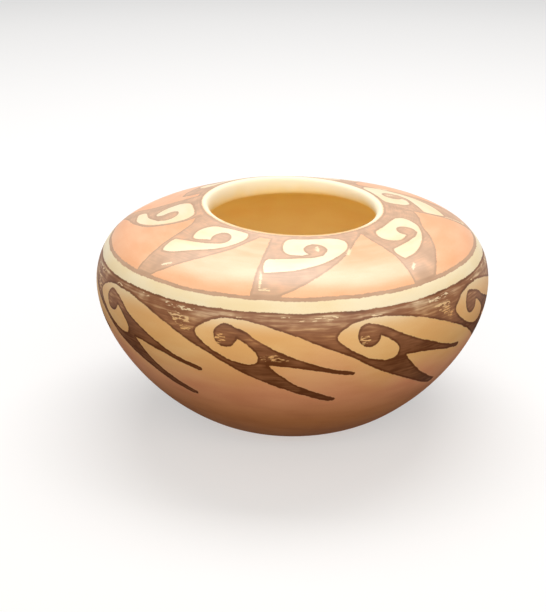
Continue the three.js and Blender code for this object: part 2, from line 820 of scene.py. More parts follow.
@dataclass(frozen=True)
class Feather:
    """One way in which the potter drew the feather at the mouth, and where.

    A curl of bare slip, which is a round lobe with a blade, lies in a field of paint that ends in a
    wedge. Each list has the points that one stroke of the brush passes, except the dot's, which are
    all its points, and the top's, which are the field's corners out of sight past the mouth.
    """

    turns: tuple[float, ...]
    stretches: tuple[float, ...]
    under_blade: list[Flat]
    over_lobe: list[Flat]
    lobe: list[Flat]
    dot: list[Flat]
    over_blade: list[Flat]
    blade_end: list[Flat]
    top: list[Flat]
    far_side: list[Flat]
    wedge: list[Flat]
    bare: tuple[list[Flat], ...] = ()

    def curl(self) -> list[Flat]:
        """The outline of the curl, from the blade round the lobe and the dot, and back."""
        start = [*smooth_stroke(self.under_blade), *smooth_stroke(self.over_lobe), *smooth_stroke(self.lobe)]
        return [*start, *self.dot, *smooth_stroke(self.over_blade), *smooth_stroke(self.blade_end)]

    def paint(self) -> list[Flat]:
        """The outline of the field of paint."""
        return [*self.top, *smooth_stroke(self.far_side), *smooth_stroke(self.wedge)]


# The lobe of this one is round and its blade is level
BROAD_FEATHER = Feather(
    turns=(10, 116),
    stretches=(0.955, 0.98),
    under_blade=[
        (-20.3, 29), (-11, 27.6), (-2.5, 24.75), (4, 21.25),
        (10, 17), (14.5, 12.8), (16.75, 8.5), (17.2, 5),
    ],
    over_lobe=[(17.2, 5), (14.5, 1.6), (10, -0.2)],
    lobe=[
        (-10, -0.2), (-13, 0.75), (-14.75, 3.75), (-15.15, 8.5), (-14.4, 12.75), (-11.5, 15.6), (-6.5, 16.25)
    ],
    dot=round_dot((0, 10.9), 5.4, -140, 140),
    over_blade=[(2.5, 16.75), (-2.5, 18.25), (-10, 18.75), (-20, 19.9)],
    blade_end=[(-20, 19.9), (-21, 21.5), (-21.1, 25.5), (-20.3, 29)],
    top=[(34, 3.0), (34, -8.0), (-22.6, -8.0)],
    far_side=[(-22.8, 20.0), (-22.8, 39.5)],
    wedge=[
        (-15, 39.5), (-10, 36.6), (-5, 33.2), (1, 28.6), (6.3, 23.8), (12, 18), (17.8, 12), (23, 7), (30, 2)
    ],
    bare=(
        [(-21.7, 28.6), (-20.7, 28.8), (-19.9, 36.2), (-17.2, 36.4), (-17.4, 37.4), (-20.9, 37.5)],
        [(11.6, 17.4), (13.0, 18.4), (16.6, 13.3), (15.6, 12.4)],
        [(0.2, 7.4), (1.9, 7.6), (2.0, 12.2), (0.6, 13.6), (-0.4, 11)],
    ),
)

# The blade of this one slopes, and its wedge is narrow
LEANING_FEATHER = Feather(
    turns=(-38.6, 168),
    stretches=(1.0, 0.94),
    under_blade=[
        (-14.8, 28.9), (-10.3, 27.5), (-2.3, 22.7), (5.7, 17.8), (11.2, 11.5), (13.6, 6), (12.6, 1.6)
    ],
    over_lobe=[(12.6, 1.6), (7, 0.8), (0, 1.0), (-5, 1.9)],
    lobe=[
        (-5, 1.9), (-10, 3.2), (-13.4, 6.6), (-14.6, 10.4),
        (-13.2, 14.4), (-10.8, 16.6), (-8, 16.2), (-4.2, 14.2),
    ],
    dot=round_dot((1.3, 10.3), 5.0, -132, 146),
    over_blade=[(4.1, 14.5), (-0.8, 16.4), (-5.3, 17.9), (-10.3, 19.3), (-17.8, 21.2)],
    blade_end=[(-17.8, 21.2), (-17.9, 23.5), (-16.5, 27.3), (-14.8, 28.9)],
    top=[(24, -8.0), (-30, -8.0)],
    far_side=[(-30, 5), (-25, 9), (-22.6, 14), (-21, 20), (-19.4, 26), (-17.2, 33), (-15.6, 39.5)],
    wedge=[
        (-8.9, 39.5), (-3.2, 33), (1.4, 28), (6.4, 22.4),
        (11.4, 16.6), (14.2, 12.2), (17.2, 7.4), (20.4, 2.5),
    ],
    bare=([(-8.6, 34.2), (-5.6, 31.9), (-5.0, 32.9), (-8.0, 35.2)],),
)

# The lobe of this one is tall and its blade is short
NARROW_FEATHER = Feather(
    turns=(-83.5,),
    stretches=(0.98,),
    under_blade=[
        (-15, 30.5), (-7, 29.5), (0, 26), (5, 22), (9, 17), (11.5, 12.5), (12.5, 8), (10.5, 4), (5, 2.6)
    ],
    over_lobe=[(5, 2.6), (-3, 2.8)],
    lobe=[(-3, 2.8), (-9, 5), (-12.6, 9.5), (-13, 14), (-11.5, 18.5), (-8, 21.6), (-5.5, 21.2)],
    dot=round_dot((0, 15.4), 4.6, -128, 150),
    over_blade=[(1.5, 20.6), (-2, 22.4), (-8, 25), (-14.5, 26.8)],
    blade_end=[(-14.5, 26.8), (-15.8, 28), (-15.8, 29.8), (-15, 30.5)],
    top=[(18, -8.0), (-20, -8.0)],
    far_side=[(-20, 5), (-20.5, 20), (-22, 32), (-24, 39.5)],
    wedge=[
        (-21, 39.5), (-15, 35.2), (-7.5, 31.6), (-0.5, 28.2), (5, 24.2),
        (9.5, 19.2), (13, 13.5), (15, 9), (16, 4),
    ],
)

# The paint of this one spreads along the mouth up to the next one
OPEN_FEATHER = Feather(
    turns=(64, -140),
    stretches=(0.96, 1.0),
    under_blade=[
        (-21.5, 28.8), (-14, 27.5), (-6, 24.5), (1, 21.5), (6, 19),
        (11, 16), (14.5, 11.5), (15, 7.5), (12, 4.2),
    ],
    over_lobe=[(12, 4.2), (6, 3.2)],
    lobe=[(-9, 3.2), (-14, 4.5), (-17, 9.5), (-16.3, 14), (-13, 17), (-9, 17.3), (-4.8, 16.4)],
    dot=round_dot((0, 14.2), 4.8, -115, 140),
    over_blade=[(2.5, 18.8), (-1, 19.8), (-7, 20.2), (-14, 20.8), (-20.5, 21.5)],
    blade_end=[(-20.5, 21.5), (-22, 23.5), (-22.2, 26.5), (-21.5, 28.8)],
    top=[(31, 8.0), (31, -8.0), (-23.5, -8.0)],
    far_side=[(-23.5, 4), (-23.7, 14), (-24.3, 26), (-26.3, 39.5)],
    wedge=[(-17.5, 39.5), (-12, 35.2), (-4, 29.5), (3, 24.5), (9, 20), (14, 18), (22, 16.5), (29, 14.5)],
    bare=([(-23.8, 33.6), (-20.6, 31.8), (-20.2, 33.0), (-23.3, 34.9)],),
)


@dataclass(frozen=True)
class Painting:
    """The jar's painting: a row of scrolls with split tails under a band, and feathers at the mouth."""

    scroll_turns: tuple[float, ...] = (-144, -102.5, -61, -18.5, 20, 59, 98, 137, 176.5)
    scroll_tails: tuple[float, ...] = (1.0, 1.1, 1.1, 1.0, 1.22, 1.22, 1.0, 1.1, 1.0)
    tail_from: float = 57.0
    band_top: float = 44.0
    band_bottom: float = 46.4
    line_top: float = 39.4
    line_bottom: float = 40.6
    mouth_edge: float = -1.9
    mouth_fill: float = 3.0
    feathers: tuple[Feather, ...] = (BROAD_FEATHER, LEANING_FEATHER, NARROW_FEATHER, OPEN_FEATHER)

    def scroll(self, tail: float) -> list[Flat]:
        """The brown scroll: a flow from the band, a dot held by a hook, and two blunt tails.

        Args:
            tail: How many times as far as usual its tails hang below tail_from.

        Returns:
            Its outline.
        """
        under_edge = [
            (-40, 46.4), (-34, 46.4), (-24.5, 48.6), (-16, 51.6), (-6.3, 56),
            (3.5, 61.3), (13.5, 66.1), (23.5, 71), (28.6, 73.3),
        ]
        over_tail = [
            (34, 61.2), (28.5, 59.9), (22, 57.6), (13.5, 54),
            (8.5, 51.6), (6, 49.8), (2.5, 48.3), (0, 47.6),
        ]
        hook = [
            (3.3, 51.4), (6, 53.1), (8.5, 55.8), (8.2, 58.1), (5, 58.7),
            (0, 57.4), (-5, 54.6), (-8.8, 50.8), (-5, 47.65), (0, 46.4),
        ]
        outline = [
            (0, 42.0), (-40, 42.0),
            *smooth_stroke(under_edge),
            *round_dot((29.7, 72.4), 0.8, 215, 10, 8),
            *smooth_stroke([(29.2, 71.3), (23.5, 68), (18.5, 64.9), (13.8, 60.8), (11.5, 58.5)]),
            *smooth_stroke([(11.5, 58.5), (16.5, 58.9), (21.5, 59.7), (27.5, 61.1), (33.8, 62.6)]),
            *round_dot((34.3, 62), 0.65, 205, 10, 8),
            *smooth_stroke(over_tail),
            *round_dot((0, 50.9), 3.3, 0, -262),
            *smooth_stroke(hook),
        ]
        return [(turn, flow + (tail - 1) * max(0.0, flow - self.tail_from)) for turn, flow in outline]

    def worn_patches(self) -> list[Figure]:
        """Where the paint of some scrolls is worn or was left thin, so that flecks of slip show.

        Returns:
            Each patch with the scrolls that have it.
        """
        every = self.scroll_turns
        speckles = [(-19, 46.8), (-11, 47.0), (-9.8, 50.4), (-10.8, 52.4), (-14, 50.6)]
        tail_root = smooth_stroke([(9.2, 56.2), (13.5, 55.4), (17.5, 57), (13.5, 57.4), (9.5, 57.2)], 3)
        patches = (
            ([(-19.5, 44.8), (-8, 44.9), (-8.5, 46.2), (-19, 46.4)], every),
            (speckles, (-144, -61, -18.5, 59, 137)),
            ([(0, 45.1), (4.6, 45.2), (4.2, 46.2), (0.4, 46.1)], every),
            ([(13.4, 44.6), (17.4, 44.7), (17.0, 45.5), (13.6, 45.4)], every),
            (tail_root, (-102.5, -18.5, 137)),
            (round_dot((-1.3, 52), 1.7, 0, 330, 11), (-144, -18.5, 20, 98, 176.5)),
        )
        return [Figure(outline, self.band_top, turns) for outline, turns in patches]

    def sheets(self) -> dict[str, bpy.types.Object]:
        """Lays out the flat sheets of figures that the wall is measured against.

        Returns:
            The sheets, by the names of the tree's inputs for them.
        """
        paired = zip(self.scroll_turns, self.scroll_tails)
        scrolls = [Figure(self.scroll(tail), self.band_top, (turn,)) for turn, tail in paired]
        worn, paints, curls = self.worn_patches(), [], []
        for feather in self.feathers:
            bare = [(worn, spot) for spot in feather.bare]
            for figures, outline in ((paints, feather.paint()), (curls, feather.curl()), *bare):
                figures.append(Figure(outline, self.line_top, feather.turns, feather.stretches))
        kinds = {"Scroll": scrolls, "Worn": worn, "Feather": paints, "Curl": curls}
        return {f"{kind} Sheet": join_sheets(kind, figures) for kind, figures in kinds.items()}


def row_tree() -> bpy.types.NodeTree:
    """The tree that sets a figure on each point of a row, and once more past each end of the full turn.

    Returns:
        The tree, which is made once.
    """
    name = "figure_row"
    if name in bpy.data.node_groups:
        return bpy.data.node_groups[name]
    inputs = (GEOMETRY, Port("Figure", "Object"), Port("Full Turn", start=FULL_TURN))
    sheet = GroupSheet(name, "Geometry", inputs, (GEOMETRY,))
    join = sheet.node("GeometryNodeJoinGeometry")
    for sign in (-1.0, 0.0, 1.0):
        shift = {"Translation": sheet.combine(sheet.source["Full Turn"] * sign)}
        sheet.feed(join, {0: sheet.then("Transform", sheet.source["Geometry"], shift)})
    figure = sheet.get("GeometryNodeObjectInfo", {"Object": sheet.source["Figure"]}, "Geometry")
    scale = sheet.combine(1.0, sheet.read("stretch"), 1.0)
    wires = {"Points": Wire(sheet, join.outputs[0]), "Instance": figure, "Scale": scale}
    placed = sheet.get("GeometryNodeInstanceOnPoints", wires)
    return sheet.give(sheet.then("RealizeInstances", placed))


def join_sheets(name: str, figures: Sequence[Figure]) -> bpy.types.Object:
    """Puts the rows of several figures together in one sheet.

    Args:
        name: The sheet's name.
        figures: The figures.

    Returns:
        The sheet.
    """
    work = bmesh.new()
    for figure in figures:
        row = figure.row()
        work.from_mesh(row.data)
        bpy.data.objects.remove(row)
    mesh = bpy.data.meshes.new(name)
    work.to_mesh(mesh)
    work.free()
    return add_object(name, mesh)


def apply_tree(target: bpy.types.Object, tree: bpy.types.NodeTree, values: dict[str, object]) -> None:
    """Runs a Geometry Nodes tree on an object and keeps its result as a plain mesh.

    Args:
        target: The object, whose mesh is the tree's first input.
        tree: The tree.
        values: What each of the tree's other inputs gets, by name.
    """
    modifier = target.modifiers.new(tree.name, "NODES")
    modifier.node_group = tree
    for socket in tree.interface.items_tree:
        if socket.item_type == "SOCKET" and socket.in_out == "INPUT" and socket.name in values:
            modifier[socket.identifier] = values[socket.name]
    depsgraph = bpy.context.evaluated_depsgraph_get()
    evaluated = target.evaluated_get(depsgraph)
    plain = bpy.data.meshes.new_from_object(evaluated, preserve_all_data_layers=True, depsgraph=depsgraph)
    target.modifiers.remove(modifier)
    start = target.data
    target.data = plain
    bpy.data.meshes.remove(start)
    plain.name = target.name


@dataclass(frozen=True)
class WallMaker:
    """Builds clay pieces by sweeping their sections round the axis.

    Each number is an input of the tree too. The brush drifts by degrees, in lumps of so many
    millimetres. What the sag leans to, starts from and ends at are shares of the radius, towards the
    right and the back.
    """

    painting: Painting
    belly_radius: float
    steps: int = 1080
    wander: float = 0.88 * MM
    wander_size: float = 55 * MM
    foot_clear: float = 8 * MM
    mouth_rise: float = 0.66 * MM
    mouth_lean: float = -1.22 * MM
    mouth_back: float = 0.70 * MM
    mouth_from: float = 78 * MM
    mouth_to: float = 83 * MM
    shoulder_lift: float = -1.2 * MM
    sag_lean: float = -0.2
    sag_front: float = -0.75
    sag_back: float = 0.05
    sag_from: float = 50 * MM
    sag_to: float = 64 * MM
    brush_drift: float = 0.7
    brush_drift_size: float = 16.0
    seam: float = 0.002 * MM
    sharp_from: float = math.radians(35)

    def numbers(self) -> dict[str, float]:
        """The numbers, by the names of the tree's inputs for them."""
        return {title(f.name): getattr(self, f.name) for f in fields(self) if f.name != "painting"}

    @staticmethod
    def edge_distance_tree() -> bpy.types.NodeTree:
        """The tree that measures how far a flat place lies inside a sheet of figures, in degrees.

        Returns:
            The tree. What it gives is below 0 outside the figures.
        """
        # The distance to a face that the place lies on comes back as a small number and not as 0
        rounding = 0.05
        inputs = (Port("Sheet", "Object"), Port("Place", "Vector"))
        sheet = GroupSheet("edge_distance", "Geometry", inputs, (Port("Inside"),))
        figures = sheet.get("GeometryNodeObjectInfo", {"Object": sheet.source["Sheet"]}, "Geometry")
        wires = {"Target": figures, "Source Position": sheet.source["Place"]}
        outside, inside = (
            sheet.get("GeometryNodeProximity", wires, "Distance", target_element=element)
            for element in ("FACES", "EDGES")
        )
        return sheet.give(inside * (1.0 - (outside > rounding)) - outside)

    def wall_tree(self) -> bpy.types.NodeTree:
        """The tree that sweeps a section, stores the painting's distances and sets the materials.

        Returns:
            The tree.
        """
        kinds = {int: "Int", float: "Float"}
        inputs = [GEOMETRY, *(Port(name, kinds[type(value)]) for name, value in self.numbers().items())]
        inputs += [Port(f"{name} Sheet", "Object") for name in ("Scroll", "Feather", "Curl", "Worn")]
        inputs += [Port(side.finish, "Material") for side in Side]
        sheet = GroupSheet("clay_wall", "Geometry", inputs, (GEOMETRY,))
        wall = self.sweep(sheet)
        for step in (self.store_painting, self.shape_by_hand, self.dress):
            wall = step(sheet, wall)
        return sheet.give(wall)

    @staticmethod
    def sweep(sheet: GroupSheet) -> Wire:
        """Sweeps the section once round, and puts each point at its own radius, turn and height.

        Args:
            sheet: The wall's sheet.

        Returns:
            The wall. Each point has its place on a straight tube as wide as the belly, in millimetres.
        """
        source = sheet.source
        wires = {"Resolution": source["Steps"], "Radius": 1.0}
        ring = sheet.get("GeometryNodeCurvePrimitiveCircle", wires, mode="RADIUS")
        share = sheet.get("GeometryNodeInputIndex") / source["Steps"]
        ring = sheet.store(ring, "turn", share * FULL_TURN - FULL_TURN / 2)
        section = sheet.get("GeometryNodeMeshToCurve", {"Mesh": source["Geometry"]})
        wall = sheet.get("GeometryNodeCurveToMesh", {"Curve": ring, "Profile Curve": section})
        angle = sheet.math("RADIANS", sheet.read("turn"))
        right, back = sheet.math("SINE", angle), sheet.math("COSINE", angle) * -1.0
        radius, belly_mm = sheet.read("wall_radius"), source["Belly Radius"] / MM
        spot = sheet.combine(right * radius, back * radius, sheet.read("wall_height"))
        flow_mm = sheet.math("RADIANS", sheet.read("flow")) * belly_mm
        place = sheet.combine(right * belly_mm, back * belly_mm, flow_mm)
        wall = sheet.then("SetPosition", wall, {"Position": spot})
        return sheet.store(wall, "place", place, "FLOAT_VECTOR")

    def store_painting(self, sheet: GroupSheet, wall: Wire) -> Wire:
        """Stores how far each point is inside the paint, the curls of slip and the worn patches.

        Args:
            sheet: The wall's sheet.
            wall: The wall.

        Returns:
            The wall, with the distances in millimetres.
        """
        paint, source = self.painting, sheet.source
        scale = 1.0 / source["Brush Drift Size"]
        drift = sheet.drift(sheet.read("place", "FLOAT_VECTOR"), scale, 1.0, source["Brush Drift"])
        still = sheet.combine(sheet.read("turn"), sheet.read("flow"))
        spot = sheet.vector("ADD", sheet.vector("MULTIPLY", drift, (1.0, 1.0, 0.0)), still)
        flow = sheet.separate(spot)[1]
        tree = self.edge_distance_tree()
        scroll, feather, curl, worn = (
            sheet.get("GeometryNodeGroup", {"Sheet": source[f"{name} Sheet"], "Place": spot}, node_tree=tree)
            for name in ("Scroll", "Feather", "Curl", "Worn")
        )
        scrolls = sheet.math("MAXIMUM", paint.band_bottom - flow, scroll)
        scrolls = sheet.math("MINIMUM", flow - paint.band_top, scrolls)
        feathers = sheet.math("MAXIMUM", feather, paint.mouth_fill - flow)
        feathers = sheet.math("MINIMUM", feathers, curl * -1.0)
        feathers = sheet.math("MINIMUM", feathers, flow - paint.mouth_edge)
        middle, half = (paint.line_top + paint.line_bottom) / 2, (paint.line_bottom - paint.line_top) / 2
        feathers = sheet.math("MAXIMUM", feathers, half - abs(flow - middle))
        degree_mm = sheet.read("wall_radius") * (math.radians(1) / MM)
        stored = {"scroll_paint": scrolls, "feather_paint": feathers, "curl_slip": curl, "worn_paint": worn}
        for name, value in stored.items():
            wall = sheet.store(wall, name, value * degree_mm)
        return wall

    @staticmethod
    def shape_by_hand(sheet: GroupSheet, wall: Wire) -> Wire:
        """Lets the wall wander a little, as hand work does, tilts the mouth and sinks the shoulder.

        Args:
            sheet: The wall's sheet.
            wall: The wall.

        Returns:
            The wall.
        """
        source = sheet.source
        position = sheet.get("GeometryNodeInputPosition")
        x, y, height = sheet.separate(position)
        reach = source["Wander"] * sheet.smooth(height, 0.0, source["Foot Clear"])
        wander = sheet.drift(position, 1.0 / source["Wander Size"], 2.0, reach)
        radius = sheet.read("wall_radius")
        right, back = x / radius, y / radius
        mouth = right * source["Mouth Lean"] + source["Mouth Rise"] + back * source["Mouth Back"]
        sag = right * source["Sag Lean"] + 1.0
        sag *= sheet.smooth(back, source["Sag Front"], source["Sag Back"])
        sag *= sheet.smooth(height, source["Sag From"], source["Sag To"])
        sunk = sag * source["Shoulder Lift"]
        near_mouth = sheet.smooth(height, source["Mouth From"], source["Mouth To"])
        change = near_mouth * (mouth - sunk) + sunk
        offset = sheet.vector("ADD", wander, sheet.combine(0.0, 0.0, change))
        return sheet.then("SetPosition", wall, {"Offset": offset})

    @staticmethod
    def dress(sheet: GroupSheet, wall: Wire) -> Wire:
        """Sets each strip's material, closes the strips to one body and marks its sharp edges.

        Args:
            sheet: The wall's sheet.
            wall: The wall.

        Returns:
            The finished piece.
        """
        source, side_here = sheet.source, sheet.read("side")
        for side in Side:
            here = abs(side_here - float(side)) < 0.5
            wall = sheet.then("SetMaterial", wall, {"Selection": here, "Material": source[side.finish]})
        wall = sheet.then("MergeByDistance", wall, {"Distance": source["Seam"]})
        wall = sheet.then("SetShadeSmooth", wall)
        sharp = sheet.get("GeometryNodeInputMeshEdgeAngle") > source["Sharp From"]
        wall = sheet.store(wall, "sharp_edge", sharp, "BOOLEAN", "EDGE")
        for name in ("wall_radius", "wall_height", "turn", "side"):
            wall = sheet.then("RemoveAttribute", wall, {"Name": name})
        return sheet.then("RealizeInstances", wall)


class SharedEffect:
    """A shader node group that is built once and placed in several materials.

    A subclass's scales say how many lumps of noise fit in a millimetre.
    """

    name: str = ""
    inputs: tuple[Port, ...] = ()
    outputs: tuple[Port, ...] = ()

    def draw(self, sheet: GroupSheet) -> tuple[Wire, ...]:
        """Adds the group's nodes and returns what each output gets."""
        raise NotImplementedError

    def place(self, sheet: NodeSheet, **values: Value) -> dict[str, Wire]:
        """Places the group in a material.

        Args:
            sheet: The material's sheet.
            **values: What each input gets, by its name in lower case with underscores.

        Returns:
            The group's outputs by name.
        """
        tree = bpy.data.node_groups.get(self.name)
        if tree is None:
            inner = GroupSheet(self.name, "Shader", self.inputs, self.outputs)
            tree = inner.give(*self.draw(inner))
        wires = {title(name): value for name, value in values.items()}
        placed = sheet.node("ShaderNodeGroup", wires, node_tree=tree)
        return {output.name: Wire(sheet, output) for output in placed.outputs}


class BrushEdge(SharedEffect):
    """The ragged edge of a brushed line."""

    name = "brush_edge"
    inputs = (Port("Distance"), Port("Place", "Vector"))
    outputs = (Port("Cover"),)
    fine_scale = 1.1
    broad_scale = 0.28
    ragged = 0.7
    softness = 0.12

    def draw(self, sheet: GroupSheet) -> tuple[Wire, ...]:
        """Shifts the edge by fine and broad noise and steps across it."""
        distance, place = sheet.source.values()
        both = sheet.noise(place, self.fine_scale, 3.0) + sheet.noise(place, self.broad_scale, 1.0)
        shifted = (both - 1.0) * self.ragged + distance
        return (sheet.smooth(shifted, -self.softness, self.softness),)


class BrushedPaint(SharedEffect):
    """Mineral paint laid on with a yucca brush: an outline, a streaky fill, and bare flecks."""

    name = "brushed_paint"
    inputs = (
        Port("Place", "Vector"),
        Port("Distance"),
        Port("Density"),
        Port("Streaks", start=1.0),
        Port("Worn"),
    )
    outputs = (Port("Body"), Port("Bare"))
    streak_scales = (0.10, 1.1)
    fleck_scales = (0.4, 1.8)
    cloud_scale = 0.12
    cloud_strength = 0.9
    outline_ends: Span = (0.35, 1.15)
    outline_body = 0.35
    fleck_limit = 0.76
    worn_change = -0.24
    fleck_edge = 0.06
    fleck_strength = 0.88

    def draw(self, sheet: GroupSheet) -> tuple[Wire, ...]:
        """Draws the outline and the fill, and flecks where the paint is worn.

        Args:
            sheet: The group's sheet.

        Returns:
            How thick the paint is, and how bare of it the spot is.
        """
        place, distance, density, streaks, worn = sheet.source.values()
        streaks *= sheet.strokes(place, *self.streak_scales) - 0.5
        cloud = (sheet.noise(place, self.cloud_scale, 2.0) - 0.5) * self.cloud_strength
        outline = (1.0 - sheet.smooth(distance, *self.outline_ends)) * self.outline_body
        body = sheet.math("MINIMUM", outline + (cloud + streaks + density), 1.0)
        flecks, limit = sheet.strokes(place, *self.fleck_scales), worn * self.worn_change + self.fleck_limit
        return body, sheet.smooth(flecks, limit, limit + self.fleck_edge) * self.fleck_strength


class SlipCloud(SharedEffect):
    """The uneven colour of a wiped-on slip."""

    name = "slip_cloud"
    inputs = (Port("Place", "Vector"), Port("Thin", "Color"), Port("Thick", "Color"))
    outputs = (Port("Colour", "Color"),)
    wiping_scales = (0.05, 0.16)
    cloud_scale = 0.035
    grain_scale = 1.6
    grain_strength = 0.25
    thick_ends: Span = (0.82, 1.42)

    def draw(self, sheet: GroupSheet) -> tuple[Wire, ...]:
        """Mixes a thin and a thick coat by wiping marks and broad clouds."""
        place, thin, thick = sheet.source.values()
        total = sheet.strokes(place, *self.wiping_scales, 4.0) + sheet.noise(place, self.cloud_scale, 2.0)
        total += sheet.noise(place, self.grain_scale, 2.0) * self.grain_strength
        return (sheet.mix(sheet.smooth(total, *self.thick_ends), thin, thick),)


class StonePolish(SharedEffect):
    """Burnishing marks: short flat strokes along the turn that catch the light unevenly."""

    name = "stone_polish"
    inputs = (Port("Place", "Vector"), Port("Shine"), Port("Spread", start=0.12))
    outputs = (Port("Roughness"), Port("Height"))
    stroke_scales = (0.035, 0.42)
    pore_scale = 2.4
    pore_ends: Span = (0.62, 0.8)
    pore_height = -0.5

    def draw(self, sheet: GroupSheet) -> tuple[Wire, ...]:
        """Draws the strokes and the clay's fine pores."""
        place, shine, spread = sheet.source.values()
        strokes = sheet.strokes(place, *self.stroke_scales)
        pores = sheet.smooth(sheet.noise(place, self.pore_scale, 2.0), *self.pore_ends)
        return (strokes - 0.5) * spread + shine, pores * self.pore_height + strokes


class PeachFrontLip(SharedEffect):
    """Where the lip's cream slip turns peach towards the front, on the side of the broad feather."""

    name = "rubbed_lip"
    inputs = (Port("Place", "Vector"),)
    outputs = (Port("Worn"),)
    patch_scale = 0.09
    patch_reach_mm = 24.0
    ends_mm: Span = (52.0, 76.0)

    def draw(self, sheet: GroupSheet) -> tuple[Wire, ...]:
        """Fades in towards that side, unevenly."""
        place = sheet.source["Place"]
        reach = sheet.noise(place, self.patch_scale, 2.0) * self.patch_reach_mm - sheet.separate(place)[1]
        return (sheet.smooth(reach, *self.ends_mm),)


@dataclass(frozen=True)
class Slip:
    """A slip's colour where its coat is thin and where it is thick."""

    thin: Colour
    thick: Colour

    def cloud(self, sheet: NodeSheet, place: Wire) -> Wire:
        """The slip's colour at each place."""
        return SlipCloud().place(sheet, place=place, thin=self.thin, thick=self.thick)["Colour"]


PEACH_FRONT_LIP = paint_chip(247, 206, 146)


def new_material(name: str) -> tuple[bpy.types.Material, NodeSheet, bpy.types.Node]:
    """Makes a material with one Principled shader.

    Args:
        name: The material's name.

    Returns:
        The material, the sheet to add its nodes to, and the shader.
    """
    material = bpy.data.materials.new(name)
    material.use_nodes = True
    return material, NodeSheet(material.node_tree), material.node_tree.nodes["Principled BSDF"]


